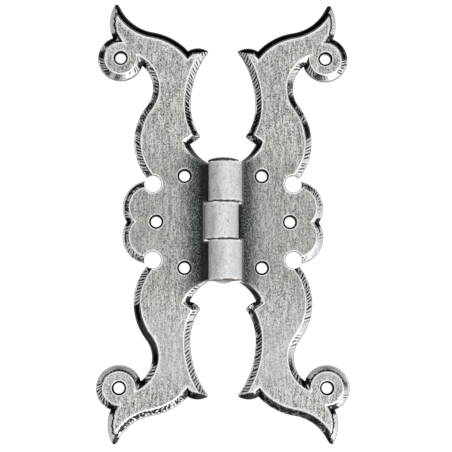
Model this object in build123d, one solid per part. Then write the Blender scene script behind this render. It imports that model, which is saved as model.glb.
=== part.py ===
from build123d import *
import os
from math import asin, cos, degrees, radians, sin

# Chest hinge lying on its back: X across the leaves, Y along the barrel, Z out of the front face.
# All sizes are in millimetres. Points of the outline are for the upper quarter of the right leaf,
# counted from the pin axis (x) and from the middle of the barrel (y).

# Sheet and its filed bevel
SHEET = 2.5
BEVEL_WIDTH = 2.05
BEVEL_BY_BARREL = 0.4
EDGE_LAND = 0.6

# Outline from the barrel up the inner side: shoulder, spur, hollow, beak
SHOULDER = (5.0, 19.1)
SHOULDER_RADIUS = 12.6
SHOULDER_NOTCH = (10.5, 25.1)
SPUR_TIP = (7.2, 27.5)
HOLLOW_WAIST = (10.4, 37.7)
BEAK_TIP = (4.6, 55.1)
BEAK_RADIUS = 6.0
BROW_NOTCH = (11.2, 55.3)

# Outline over the head: brow, crest, round eye about the head screw
BROW_RADIUS = 19.7
BROW_END = (22.5, 61.3)
CREST_TIP = (33.9, 71.4)
CREST_RADIUS = 12.4
HEAD_HOLE = (32.8, 52.6)
EYE_RADIUS = 7.25
CREST_NOTCH_ANGLE = 69
NECK_NOTCH_ANGLE = 198

# Outline down the outer side: neck, flank, lobe, with a drilled notch between flank and lobe
NECK_END = (24.4, 37.3)
FLANK_RADIUS = 18.9
LOBE_RADIUS = 8.6
LOBE_SIDE = (31.9, 5.4)
LOBE_CUSP_X = 30.6
DRILLED_NOTCH = (22.4, 12.15)
DRILLED_NOTCH_RADIUS = 2.7
NOTCH_MOUTH_IN = (1.7, 1.4)
NOTCH_MOUTH_GAP = 0.6

# Rounding of the three sharp tips
SPUR_TIP_ROUND = 0.35
BEAK_TIP_ROUND = 0.5
CREST_TIP_ROUND = 1.05
TIP_CIRCLE_SEAT = 0.97
JOIN_TOLERANCE = 0.001

# Screw holes
BARREL_HOLE = (12.3, 14.65)
MIDDLE_HOLE_X = 21.25
SCREW_HOLE_RADIUS = 1.75
SINK_RADIUS = 2.25
SINK_DEPTH = 0.5

# Barrel: the sheet is rolled into knuckles, and each leaf sits over to its own far side by the play
KNUCKLE_RADIUS = 5.3
KNUCKLE_SHIFT = 0.55
MIDDLE_KNUCKLE = 11.6
OUTER_KNUCKLE = 12.7
KNUCKLE_GAP = 0.3
ROLL_SEAM = 0.3
LEAF_CLEARANCE = 0.15

# Pin
PIN_CLEARANCE = 0.05
PIN_HEAD_RADIUS = 5.0
PIN_HEAD_RIM = 0.4
PIN_HEAD_HEIGHT = 1.35
PIN_HEAD_FLAT = 2.0
PIN_PEEN_RADIUS = 2.75
PIN_PEEN_RIM = 0.3
PIN_PEEN_HEIGHT = 0.95
PIN_PEEN_FLAT = 1.2
HEAD_CLEARANCE = 0.03

axis_z = KNUCKLE_RADIUS
bore_radius = KNUCKLE_RADIUS - SHEET
pin_radius = bore_radius - KNUCKLE_SHIFT - PIN_CLEARANCE
leaf_edge_x = KNUCKLE_RADIUS + KNUCKLE_SHIFT + LEAF_CLEARANCE
outer_knuckle_start = MIDDLE_KNUCKLE / 2 + KNUCKLE_GAP
barrel_end = outer_knuckle_start + OUTER_KNUCKLE


def flip(point):
    """The same point in the lower half of the leaf."""
    return Vector(point.X, -point.Y)


def eye_point(angle):
    """A point of the round eye about the head screw."""
    return (
        HEAD_HOLE[0] + EYE_RADIUS * cos(radians(angle)),
        HEAD_HOLE[1] + EYE_RADIUS * sin(radians(angle)),
    )


def leaf_outline():
    """Edges of the right leaf in clockwise order; the closing edge lies under the barrel."""
    start = (leaf_edge_x - 4 * BEVEL_WIDTH, SHOULDER[1])
    crest_notch = eye_point(CREST_NOTCH_ANGLE)
    neck_notch = eye_point(NECK_NOTCH_ANGLE)
    eye_far = eye_point((CREST_NOTCH_ANGLE + NECK_NOTCH_ANGLE) / 2 - 180)
    hollow = TangentArc(HOLLOW_WAIST, SPUR_TIP, tangent=(0, -1))
    brow = RadiusArc(BROW_NOTCH, BROW_END, BROW_RADIUS)
    mouth = Vector(DRILLED_NOTCH) + Vector(NOTCH_MOUTH_IN)
    flank_bottom = mouth + Vector(0, NOTCH_MOUTH_GAP / 2)
    lobe_top = mouth - Vector(0, NOTCH_MOUTH_GAP / 2)
    flank = RadiusArc(NECK_END, flank_bottom, FLANK_RADIUS)
    neck = TangentArc(NECK_END, neck_notch, tangent=(flank % 0) * -1)
    lobe = RadiusArc(lobe_top, LOBE_SIDE, LOBE_RADIUS)
    upper = [
        Line(start, SHOULDER),
        RadiusArc(SHOULDER, SHOULDER_NOTCH, -SHOULDER_RADIUS),
        Line(SHOULDER_NOTCH, SPUR_TIP),
        ThreePointArc(SPUR_TIP, hollow @ 0.5, HOLLOW_WAIST),
        TangentArc(HOLLOW_WAIST, BEAK_TIP, tangent=(0, 1)),
        RadiusArc(BEAK_TIP, BROW_NOTCH, BEAK_RADIUS),
        brow,
        TangentArc(BROW_END, CREST_TIP, tangent=brow % 1),
        RadiusArc(CREST_TIP, crest_notch, CREST_RADIUS),
        ThreePointArc(crest_notch, eye_far, neck_notch),
        ThreePointArc(neck_notch, neck @ 0.5, NECK_END),
        flank,
        Line(flank_bottom, lobe_top),
        lobe,
        TangentArc(LOBE_SIDE, (LOBE_CUSP_X, 0), tangent=lobe % 1),
    ]
    lower = []
    for edge in reversed(upper):
        if edge.geom_type == GeomType.LINE:
            lower.append(Line(flip(edge @ 1), flip(edge @ 0)))
        else:
            lower.append(ThreePointArc(flip(edge @ 1), flip(edge @ 0.5), flip(edge @ 0)))
    return upper + lower + [Line(lower[-1] @ 1, start)]


def depth_inside(edge, point):
    """How far a point lies inside an edge of the outline, and the way further in."""
    if edge.geom_type == GeomType.LINE:
        inward = (edge % 0).rotate(Axis.Z, -90)
        return (point - edge @ 0).dot(inward), inward
    spoke = point - edge.arc_center
    is_hollow = (edge % 0).cross(edge.arc_center - edge @ 0).Z > 0
    if is_hollow:
        return spoke.length - edge.radius, spoke.normalized()
    return edge.radius - spoke.length, spoke.normalized() * -1


def bevel_at(corner):
    """How wide the bevel is at a corner of the outline: it runs out where the shoulder meets the barrel."""
    by_barrel = corner.X < SHOULDER[0] + JOIN_TOLERANCE and abs(corner.Y) < SHOULDER[1] + JOIN_TOLERANCE
    return BEVEL_BY_BARREL if by_barrel else BEVEL_WIDTH


def inset_corner(first, second):
    """The corner between two neighbouring edges once both have moved inwards."""
    point = first @ 1
    inset = bevel_at(point)
    for step in range(12):
        depth_1, way_1 = depth_inside(first, point)
        depth_2, way_2 = depth_inside(second, point)
        short_1 = inset - depth_1
        short_2 = inset - depth_2
        across = way_1.cross(way_2).Z
        if abs(across) < 0.02:
            point = point + way_1 * short_1
        else:
            move_x = (short_1 * way_2.Y - short_2 * way_1.Y) / across
            move_y = (short_2 * way_1.X - short_1 * way_2.X) / across
            point = point + Vector(move_x, move_y)
    return point


def inset_outline(edges):
    """The outline moved inwards by the bevel, with its corners kept sharp."""
    corners = []
    for first, second in zip(edges, edges[1:] + edges[:1]):
        corners.append(inset_corner(first, second))
    moved = []
    for edge, begin, end in zip(edges, corners[-1:] + corners[:-1], corners):
        if edge.geom_type == GeomType.LINE:
            moved.append(Line(begin, end))
        else:
            middle = edge @ 0.5
            depth, inward = depth_inside(edge, middle)
            inset = (bevel_at(edge @ 0) + bevel_at(edge @ 1)) / 2
            moved.append(ThreePointArc(begin, middle + inward * inset, end))
    return moved


def tip_cutter(first, second, radius):
    """The cutter that rounds the sharp tip between two edges; its circle runs a little past both sides."""
    tip = first @ 1
    depth, way_1 = depth_inside(first, tip)
    depth, way_2 = depth_inside(second, tip)
    inward = (way_1 + way_2).normalized()
    spread = inward.dot(way_1)
    centre = tip + inward * (TIP_CIRCLE_SEAT * radius / spread)
    reach = (centre - tip).length
    outside = Box(2 * reach, 4 * reach, 4 * SHEET, align=(Align.MIN, Align.CENTER, Align.CENTER))
    shape = Pos(radius * spread, 0, 0) * outside - Cylinder(radius, 4 * SHEET)
    return Plane(origin=centre, x_dir=inward * -1, z_dir=(0, 0, 1)) * shape


def bevelled_plate():
    """The flat sheet of the right leaf with its bevel and rounded tips, before holes and barrel."""
    edges = leaf_outline()
    outer = Wire(edges)
    inner = Wire(inset_outline(edges))
    sections = [outer, outer.moved(Location((0, 0, EDGE_LAND))), inner.moved(Location((0, 0, SHEET)))]
    plate = Part(Solid.make_loft(sections, ruled=True).wrapped)
    rounds = [(SPUR_TIP, SPUR_TIP_ROUND), (BEAK_TIP, BEAK_TIP_ROUND), (CREST_TIP, CREST_TIP_ROUND)]
    for tip, radius in rounds:
        for first, second in zip(edges, edges[1:]):
            joint = first @ 1
            if (Vector(joint.X, abs(joint.Y)) - Vector(tip)).length < JOIN_TOLERANCE:
                plate -= tip_cutter(first, second, radius)
    return plate


def block(x_from, x_to, y_from, y_to, z_from, z_to):
    """A box between two limits along each axis."""
    size = Box(x_to - x_from, y_to - y_from, z_to - z_from, align=(Align.MIN, Align.MIN, Align.MIN))
    return Pos(x_from, y_from, z_from) * size


def drill(x, y, radius):
    """A round cutter straight through the sheet."""
    return Pos(x, y, SHEET / 2) * Cylinder(radius, 2 * SHEET)


def screw_hole(x, y):
    """The cutter for one screw hole with its small countersink."""
    sink = Cone(SCREW_HOLE_RADIUS, SINK_RADIUS, SINK_DEPTH, align=(Align.CENTER, Align.CENTER, Align.MAX))
    return drill(x, y, SCREW_HOLE_RADIUS) + Pos(x, y, SHEET) * sink


def rolled_knuckle(y_from, y_to):
    """One knuckle of the right leaf: the sheet rolled from its back, over the far side, to its own face."""
    centre = Vector(-KNUCKLE_SHIFT, 0, axis_z)
    end_angle = degrees(asin((SHEET + ROLL_SEAM - axis_z) / KNUCKLE_RADIUS))

    def rim(radius, angle):
        return centre + Vector(radius * cos(radians(angle)), 0, radius * sin(radians(angle)))

    middle_angle = (270 + end_angle) / 2
    section = Wire(
        [
            ThreePointArc(
                rim(KNUCKLE_RADIUS, 270), rim(KNUCKLE_RADIUS, middle_angle), rim(KNUCKLE_RADIUS, end_angle)
            ),
            Line(rim(KNUCKLE_RADIUS, end_angle), rim(bore_radius, end_angle)),
            ThreePointArc(rim(bore_radius, end_angle), rim(bore_radius, middle_angle), rim(bore_radius, 270)),
            Line(rim(bore_radius, 270), rim(KNUCKLE_RADIUS, 270)),
        ]
    )
    return Pos(0, y_from, 0) * extrude(Face(section), amount=y_to - y_from, dir=(0, 1, 0))


def make_leaf(knuckles, room_end):
    """The right leaf with its knuckles, given as pairs of limits along Y, in a room that ends at a Y."""
    leaf = bevelled_plate()
    barrel_room = block(-CREST_TIP[0], leaf_edge_x, -room_end, room_end, -SHEET, 2 * SHEET)
    # Past the barrel only the pin head needs room; the beaks beyond the spurs reach nearer to the axis
    barrel_room += block(-CREST_TIP[0], PIN_HEAD_RADIUS, -SPUR_TIP[1], SPUR_TIP[1], -SHEET, 2 * SHEET)
    for y_from, y_to in knuckles:
        barrel_room -= block(-KNUCKLE_SHIFT, leaf_edge_x, y_from, y_to, -SHEET, 2 * SHEET)
    leaf -= barrel_room
    for y_from, y_to in knuckles:
        leaf += rolled_knuckle(y_from, y_to)
    for side in (1, -1):
        leaf -= screw_hole(HEAD_HOLE[0], side * HEAD_HOLE[1])
        leaf -= screw_hole(BARREL_HOLE[0], side * BARREL_HOLE[1])
        leaf -= drill(DRILLED_NOTCH[0], side * DRILLED_NOTCH[1], DRILLED_NOTCH_RADIUS)
    return leaf - screw_hole(MIDDLE_HOLE_X, 0)


def make_pin():
    """The pin: a rod with a broad low domed head on top and a small peened end below."""
    head_base = barrel_end + HEAD_CLEARANCE
    peen_base = -head_base
    head_top = head_base + PIN_HEAD_HEIGHT
    peen_top = peen_base - PIN_PEEN_HEIGHT
    profile = Wire(
        [
            Line((0, peen_top), (0, head_top)),
            Line((0, head_top), (PIN_HEAD_FLAT, head_top)),
            Line((PIN_HEAD_FLAT, head_top), (PIN_HEAD_RADIUS, head_base + PIN_HEAD_RIM)),
            Line((PIN_HEAD_RADIUS, head_base + PIN_HEAD_RIM), (PIN_HEAD_RADIUS, head_base)),
            Line((PIN_HEAD_RADIUS, head_base), (pin_radius, head_base)),
            Line((pin_radius, head_base), (pin_radius, peen_base)),
            Line((pin_radius, peen_base), (PIN_PEEN_RADIUS, peen_base)),
            Line((PIN_PEEN_RADIUS, peen_base), (PIN_PEEN_RADIUS, peen_base - PIN_PEEN_RIM)),
            Line((PIN_PEEN_RADIUS, peen_base - PIN_PEEN_RIM), (PIN_PEEN_FLAT, peen_top)),
            Line((PIN_PEEN_FLAT, peen_top), (0, peen_top)),
        ]
    )
    return Pos(0, 0, axis_z) * revolve(Face(profile), axis=Axis.Y)


half_middle = MIDDLE_KNUCKLE / 2
right_leaf = make_leaf([(-half_middle, half_middle)], barrel_end + KNUCKLE_GAP)
outer_pair = [(outer_knuckle_start, barrel_end), (-barrel_end, -outer_knuckle_start)]
left_leaf = make_leaf(outer_pair, barrel_end).mirror(Plane.YZ)
hinge_pin = make_pin()

os.makedirs("parts", exist_ok=True)
export_step(left_leaf, "parts/left_leaf.step")
export_step(right_leaf, "parts/right_leaf.step")
export_step(hinge_pin, "parts/hinge_pin.step")
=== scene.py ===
from collections import namedtuple
from itertools import product
from math import asin, ceil, cos, floor, pi, radians, sin, sqrt

import bmesh
import bpy
from mathutils import Matrix, Vector, noise
from mathutils.bvhtree import BVHTree
from mathutils.geometry import delaunay_2d_cdt
from mathutils.kdtree import KDTree


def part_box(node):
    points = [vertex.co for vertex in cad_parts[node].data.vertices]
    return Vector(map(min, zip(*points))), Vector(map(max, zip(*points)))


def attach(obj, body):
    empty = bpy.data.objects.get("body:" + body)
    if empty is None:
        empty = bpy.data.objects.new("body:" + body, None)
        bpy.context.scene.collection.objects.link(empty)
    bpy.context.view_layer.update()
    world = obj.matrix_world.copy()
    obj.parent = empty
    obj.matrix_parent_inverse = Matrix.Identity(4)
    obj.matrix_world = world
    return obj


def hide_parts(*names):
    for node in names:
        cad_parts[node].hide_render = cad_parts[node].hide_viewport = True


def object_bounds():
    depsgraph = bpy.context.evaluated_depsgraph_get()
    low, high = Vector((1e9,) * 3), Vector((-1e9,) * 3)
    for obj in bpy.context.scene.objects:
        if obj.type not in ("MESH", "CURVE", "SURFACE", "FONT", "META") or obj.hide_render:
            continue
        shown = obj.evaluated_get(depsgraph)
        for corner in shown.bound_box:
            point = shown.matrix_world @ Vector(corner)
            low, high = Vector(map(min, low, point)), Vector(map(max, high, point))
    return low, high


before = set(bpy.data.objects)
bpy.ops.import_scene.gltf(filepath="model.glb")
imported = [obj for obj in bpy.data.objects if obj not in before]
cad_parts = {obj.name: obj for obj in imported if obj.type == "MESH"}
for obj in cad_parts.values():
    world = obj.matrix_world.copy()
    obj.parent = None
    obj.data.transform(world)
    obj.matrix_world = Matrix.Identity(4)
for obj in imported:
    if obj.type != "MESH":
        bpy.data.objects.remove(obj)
cad_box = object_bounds()

# The leaves are rebuilt from their CAD solids with the marks of hand work on them.
# Lengths are in millimetres until a piece is made, and in metres in materials, lamps and camera.
# A leaf is worked on as if it were the right one, with the barrel at low x. The left one is
# mirrored in X when its solid is read, and again when its piece is made.
# A pair given to ease is a soft range: 0 up to the first value, 1 from the second, a slope between.
# fade gives 1 less that.

# Sizes that the solids have too
SHEET = 2.5
BEVEL = 2.05
EDGE_LAND = 0.6
SINK_RADIUS = 2.25
SINK_DEPTH = 0.5
ROLL_SEAM = 0.3
LEAF_EDGE_X = 6.0
PIN_RADIUS = 2.2
HEAD_HEIGHT = 1.35
PEEN_HEIGHT = 0.95

# How the solids are read
SAME_PLACE = 0.01
CELLS_PER_MM = 200
FLAT_BACK = 0.002
UPWARD = 0.1
LINE_TURN = radians(14)
CORNER_TURN = radians(25)
TIP_TURN = radians(135)
INNER_CORNER_X = LEAF_EDGE_X + 1
CAST_HEIGHT = 2.65
LEAST_HEIGHT = 0.1

# Fineness of the new surfaces
OUTLINE_STEP = 0.14
ROLL_STEP = 0.4
ROLL_COLUMNS = 84
CELL = 0.25
CLOUD_TOUCH = 0.0001
INSIDE_ONLY = 1  # the output of delaunay_2d_cdt without triangles outside the edges
ARRIS_STEP = 0.1
LINE_STEP = 0.17
LINE_GAP = 0.06
LINE_END = 0.25  # sharp lines stop so far from the outline
LINE_TO_RIM = 0.2
TIP_REACH = 0.5  # the wear of the edge tapers off so near to a narrow tip
SHARPEST_SPREAD = 0.5
HOLE_SIDES = 56
RIM_RADIUS = SINK_RADIUS + 0.1
RIM_RINGS = ((0.14, 48), (0.34, 40), (0.6, 30))  # distance out from the rim, and number of points
RIM_GAP = 0.05
ARRIS_ROWS = (0.09, -0.09, 0.2, -0.2, 0.36, -0.36)
ARRIS_GAP = 0.07
BEVEL_ROWS = (0.17, 0.4, 0.65, 0.9, 1.15, 1.4, 1.62, 1.82)
BEVEL_GAP = 0.08
ROW_SLACK = 0.04
FACE_ROWS_END = 0.7
ON_BEVEL = 0.05
GRIDS = ((0.22, 0.15, True), (0.9, 0.3, False))  # step, gap, and whether it is on the bevel or the face
INSIDE = 0.9975  # share of a hole's radius that holds the middles of all triangles that would close it

# Wear of edges and faces
EDGE_WEAR = 0.07
RIM_WEAR = 0.13
BORE_WEAR = 0.12
SEAM_WEAR = 0.3
ARRIS_WEAR = 0.2
ARRIS_RINGS = ((1.0, 8), (0.5, 6))  # share of the wear, and number of places that are averaged
BURR = 0.07
BEVEL_CROWN = 0.26
BEVEL_POWER = (7, 18)  # on the sides and on the ends of a leaf
CROWN_WAVE = 9.0
SLIT_FOOT = 0.36  # how far the edge beside the barrel stands out at its foot
FOOT_STEPS = 6
FACE_WAVE = 0.035
PROBE_DEPTH = 0.12

# Knuckles: start of the roll, share over which its wear begins, unevenness of skin and ends
ROLL_START = 1.5 * pi
ROLL_RUN_IN = (0.0, 0.12)
SKIN_WAVE = 0.030
SKIN_GRAIN = 0.012
RAGGED_END = 0.07
WORN_END = (0.45, 0.95)

# File strokes, and black scale that is painted shade
MARK_PITCH = 1.1
MARK_DEPTH = 0.17
MARK_SLANT = 0.7
MARK_SWAY = 0.6
SWAY_WAVE = 1.7
PATCH_WAVE = 6.5
SHADE_WAVE = 2.5
MOTTLE_WAVES = (0.6, 0.5)  # along and across the bevel
CREST_WAVE = 1.2
CREST_LINE_IN = 0.55
CREST_LINE_SWAY = 0.5
SHADE_REACH = 0.14

# Zones of a leaf's edge, each the product of soft ranges of measures that edge_zones takes.
# A range with the higher value first falls from 1 to 0.
BROW = (("outward", 0.25, 0.5), ("facing_x", 0.5, 0.25), ("from_middle", 44, 47))
ZONES = {
    "brow": BROW,
    "beak": (*BROW, ("x", 11.6, 11.0)),
    "shoulder": (("outward", 0.1, 0.3), ("x", 13.8, 13.2), ("from_middle", 27, 26)),
    "flank": (("facing_x", 0.4, 0.65), ("from_middle", 25, 28), ("from_middle", 47, 43)),
    "eye": (("facing_x", 0.05, 0.4), ("facing_y", -0.3, 0.2), ("x", 33, 35), ("y", 46, 48), ("y", 61, 60)),
    "low_eye": (("facing_y", 0.1, 0.5), ("down", 44, 46), ("x", 26, 27)),
    "crest": (("from_middle", 58, 60), ("facing_x", 0.2, 0.5)),
    "hollow": (("facing_barrel", 0.5, 0.8), ("from_middle", 26, 28)),
    "hollow_top": (("from_middle", 32, 52),),
    "notch": (("facing_x", 0.4, 0.6), ("from_middle", 15, 16), ("from_middle", 29, 26)),
    "lobe": (("x", 25, 27), ("from_middle", 16, 14)),
    "filed_side": (("across", 0.3, 0.85),),
    "uneven_side": (("across", 0.4, 0.8),),
    "full_end": (("lengthwise", 0.3, 0.8),),
}

# Ranges of distance from the arris
OVER_END = (0.09, 0.17)
FACE_LINE_END = (0.16, 0.4)
ARRIS_BARE_END = (0.08, 0.3)
ARRIS_BLACK_END = (0.0, 0.08)
BROW_BAND = (0.1, 0.3)
BROW_BAND_END = (1.35, 1.9)
LOBE_BRIGHT_END = (0.5, 1.1)
CREST_LINE_EDGE = (0.16, 0.36)

# Ranges of distance in from the outline, from an inward corner, and down from the face
PLAIN_EDGE_DARK_END = (0.1, 0.24)
PLAIN_EDGE_BRIGHT_END = (0.4, 0.7)
BEVEL_FOOT_END = (0.06, 0.26)
CORNER_DARK_END = (0.6, 2.1)
BEVEL_BEGIN = (0.03, 0.25)

# Ranges of the share of the way from the arris to the bevel's foot
MARKS_BEGIN = (0.0, 0.2)
LOW_EYE_DARK_END = (0.2, 0.4)
LOW_EYE_BRIGHT = (0.15, 0.5)
LOW_EYE_BRIGHT_END = (0.72, 0.92)

# The pin's outline as radius or distance in from the head's rim, and height from the place in the name
FOOT_PROFILE = ((0.0, 0.0), (0.6, 0.02), (1.2, 0.09), (1.8, 0.26), (2.3, 0.46))
PEEN_PROFILE = ((2.62, -0.26), (2.73, -0.14), (2.7, -0.03), (2.6, 0.0), (PIN_RADIUS, 0.0))
HEAD_RIM_PROFILE = ((0.14, 0.0), (0.03, 0.06), (0.0, 0.2), (0.06, 0.36), (0.3, 0.53))
HEAD_DOME_PROFILE = (
    (4.2, 0.74), (3.6, 0.92), (2.8, 1.1), (2.0, 1.24), (1.2, 1.32), (0.5, 1.345), (0.0, HEAD_HEIGHT),
)
HEAD_FLAT_RADIUS = 3.5
ROD_STEPS = 24
PIN_SIDES = 72
PIN_DENT = 0.05
DENT_WAVE = 1.5
DENT_RADIUS = 2.3
PEEN_RADIUS = 2.7

# Joining of corners in a finished mesh, in metres
WELD = 0.000002
THINNEST = 0.0000005

# Camera and floor, in metres and radians; the shift is in pixels of the square photo
CAMERA_DISTANCE = 0.6
CAMERA_TARGET = Vector((0, 0, 0.0025))
CAMERA_TILT_X = 0.0979
CAMERA_TILT_Y = 0.0297
CAMERA_LENS = 150.5
CAMERA_SENSOR = 36
PHOTO_PIXELS = 452
SHIFT_PIXELS = (2.79, -4.17)
# The floor lies so far below the hinge that a leaf swung back stays above it
FLOOR_DROP = 0.037
FLOOR_REACH = 2
SIDE_LIGHT_WAY = radians(-45)

MARKS = ("bevel", "arris", "groove_dirt_and_shade", "ridge_and_half_shade")
PLATE_LOOK, BARREL_LOOK = 0, 1

# Of half a leaf: which way its file strokes slant, and how much painted shade, black as scale, lies on
# brow and flank
Hand = namedtuple("Hand", "slant black_brow black_flank")
Zones = namedtuple("Zones", ZONES)
# A place on a leaf's edge, with the painted shade there as black scale, and grey where that painted shade
# is half
Edge = namedtuple("Edge", "point out along zone hand black dull")


def mix(a, b, share):
    return a + (b - a) * share


def ease(value, low, high):
    """0 below low, 1 above high, and a soft slope between them."""
    share = min(max((value - low) / (high - low), 0.0), 1.0)
    return share * share * (3 - 2 * share)


def fade(value, low, high):
    return 1 - ease(value, low, high)


def chance(number, seed):
    """A fixed number from 0 to 1 that looks random."""
    value = sin(number * 12.9898 + seed * 78.233) * 43758.5453
    return value - floor(value)


def wobble(x, y=0.0, z=0.0):
    return noise.noise(Vector((x, y, z)))


def around(sides):
    """Cosine and sine of even steps once around."""
    turns = [2 * pi * k / sides for k in range(sides)]
    return [(cos(turn), sin(turn)) for turn in turns]


def circle(centre, radius, sides):
    return [centre + Vector(way) * radius for way in around(sides)]


def flat_tree(points):
    """A search tree of points by their place in the plane."""
    tree = KDTree(len(points))
    for number, point in enumerate(points):
        tree.insert((point.x, point.y, 0), number)
    tree.balance()
    return tree


class Shell:
    """Corners, faces and marks of one piece while it is put together."""

    def __init__(self):
        self.spots = []
        self.marks = []
        self.faces = []
        self.looks = []

    def spot(self, x, y, z, bevel=0.0, arris=0.0, groove_dirt_and_shade=0.0, ridge_and_half_shade=0.0):
        self.spots.append(Vector((x, y, z)))
        self.marks.append((bevel, arris, groove_dirt_and_shade, ridge_and_half_shade))
        return len(self.spots) - 1

    def face(self, corners, look=PLATE_LOOK):
        tidy = [c for k, c in enumerate(corners) if c != corners[k - 1]]
        if len(set(tidy)) > 2:
            self.faces.append(tidy)
            self.looks.append(look)

    def strip(self, first, second, look=PLATE_LOOK):
        """Faces between two closed rows of the same number of corners."""
        count = len(first)
        for k in range(count):
            after = (k + 1) % count
            self.face([first[k], first[after], second[after], second[k]], look)


def read_solid(name, mirrored):
    """Corners, triangles and a search tree of a CAD solid, mirrored if it is the left leaf."""
    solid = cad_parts[name]
    corners = [solid.matrix_world @ v.co * 1000 for v in solid.data.vertices]
    faces = [tuple(p.vertices) for p in solid.data.polygons]
    if mirrored:
        corners = [Vector((-c.x, c.y, c.z)) for c in corners]
        faces = [tuple(reversed(f)) for f in faces]
    numbers = {}
    spots = []
    welded = []
    for corner in corners:
        key = tuple(round(value * CELLS_PER_MM) for value in corner)
        if key not in numbers:
            numbers[key] = len(spots)
            spots.append(corner)
        welded.append(numbers[key])
    faces = [tuple(welded[c] for c in f) for f in faces]
    faces = [f for f in faces if len(set(f)) == len(f)]
    return spots, faces, BVHTree.FromPolygons(spots, faces)


def back_loops(spots, faces):
    """The outline and the hole rims of the flat back, each one counter-clockwise from above."""
    sides = set()
    for face in faces:
        if max(abs(spots[c].z) for c in face) < FLAT_BACK:
            for k, corner in enumerate(face):
                sides.add((corner, face[k - 1]))
    follow = {a: b for a, b in sides if (b, a) not in sides}
    loops = []
    while follow:
        corner = next(iter(follow))
        loop = []
        while corner in follow:
            loop.append(spots[corner].xy)
            corner = follow.pop(corner)
        area = sum(a.cross(b) for a, b in zip(loop, loop[1:] + loop[:1]))
        loops.append(loop if area > 0 else loop[::-1])
    return sorted(loops, key=len, reverse=True)


def sharp_lines(spots, faces):
    """Edges of the solid where two upward faces meet at an angle."""
    normals = []
    beside = {}
    for number, face in enumerate(faces):
        a, b, c = (spots[k] for k in face[:3])
        normals.append((b - a).cross(c - a).normalized())
        for k, corner in enumerate(face):
            beside.setdefault(tuple(sorted((corner, face[k - 1]))), []).append(number)
    lines = []
    for (a, b), near in beside.items():
        if len(near) != 2 or max(spots[a].z, spots[b].z) > SHEET + SAME_PLACE:
            continue
        one, two = normals[near[0]], normals[near[1]]
        if min(one.z, two.z) > UPWARD and one.dot(two) < cos(LINE_TURN):
            lines.append((a, b))
    return lines


def on_face(spots, line):
    """Whether a sharp line of the solid is an arris, where the flat face ends."""
    return min(spots[k].z for k in line) > SHEET - SAME_PLACE


def curve_tangents(slopes, lengths):
    """Direction of a smooth curve at each point of a run, from the slopes of the steps between them."""
    if len(slopes) == 1:
        return [slopes[0], slopes[0]]
    inner = []
    for before, after, h0, h1 in zip(slopes, slopes[1:], lengths, lengths[1:]):
        inner.append((before * h1 + after * h0) / (h0 + h1))
    first = slopes[0] * 1.5 - inner[0] * 0.5
    last = slopes[-1] * 1.5 - inner[-1] * 0.5
    return [first, *inner, last]


def curve_run(run, step):
    """A smooth run of points as evenly spaced points on a curve through them, without the last."""
    lengths = [(b - a).length for a, b in zip(run, run[1:])]
    slopes = [(b - a) / h for a, b, h in zip(run, run[1:], lengths)]
    tangents = curve_tangents(slopes, lengths)
    count = max(1, round(sum(lengths) / step))
    points = []
    k = 0
    done = 0.0
    for n in range(count):
        place = sum(lengths) * n / count
        while place > done + lengths[k] and k < len(lengths) - 1:
            done += lengths[k]
            k += 1
        h = lengths[k]
        t = (place - done) / h
        points.append(
            run[k] * (2 * t**3 - 3 * t**2 + 1)
            + tangents[k] * (h * (t**3 - 2 * t**2 + t))
            + run[k + 1] * (3 * t**2 - 2 * t**3)
            + tangents[k + 1] * (h * (t**3 - t**2))
        )
    return points


def find_corners(loop):
    """Numbers of the outline's corners, and the points of inward corners and of narrow tips."""
    corners = []
    inner = []
    tips = []
    for k, point in enumerate(loop):
        before = point - loop[k - 1]
        after = loop[(k + 1) % len(loop)] - point
        if abs(before.angle_signed(after)) > CORNER_TURN:
            corners.append(k)
            if before.cross(after) < 0 and point.x > INNER_CORNER_X:
                inner.append(point)
        if before.cross(after) > 0 and before.angle(after) > TIP_TURN:
            tips.append(point)
    return corners, inner, tips


def smooth_outline(loop, corners, low_x):
    """The outline with even steps: corners stay, and curves run through the solid's points."""
    count = len(loop)
    points = []
    for first, last in zip(corners, corners[1:] + [corners[0] + count]):
        run = [loop[k % count] for k in range(first, last + 1)]
        is_roll = max(p.x for p in run) < low_x + SAME_PLACE
        points += curve_run(run, ROLL_STEP if is_roll else OUTLINE_STEP)
    return points


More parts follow.
